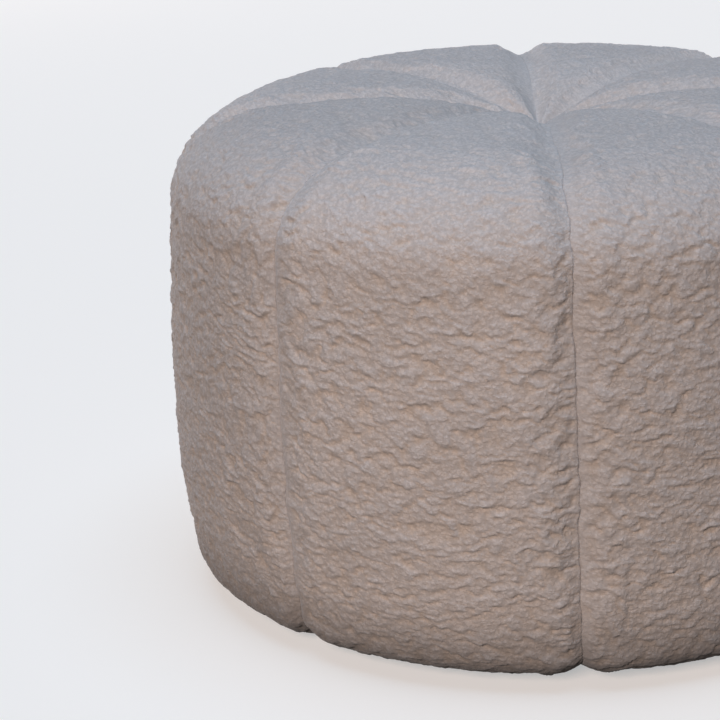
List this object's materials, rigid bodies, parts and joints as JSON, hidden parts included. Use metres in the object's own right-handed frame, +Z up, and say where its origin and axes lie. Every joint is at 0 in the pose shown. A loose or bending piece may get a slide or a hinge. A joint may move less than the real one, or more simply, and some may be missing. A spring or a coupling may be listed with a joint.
{
  "type": "drum footstool",
  "caption": "Round stuffed footstool covered in curly cream pile cloth, sewn from gores that meet in a pit in the middle of the top. It stands on its flat base.",
  "frame": {"origin": "middle of the flat base, on the floor", "axes": "+Z up through the pit in the middle of the top, -Y towards the front seam"},
  "size_m": [0.5996, 0.5997, 0.3924],
  "materials": {
    "pile_cloth": "curly short pile, matt, warm cream"
  },
  "bodies": {
    "root": {"gore_1": "pile_cloth", "gore_2": "pile_cloth", "gore_3": "pile_cloth", "gore_4": "pile_cloth", "gore_5": "pile_cloth", "gore_6": "pile_cloth", "gore_7": "pile_cloth", "gore_8": "pile_cloth"}
  },
  "joints": []
}
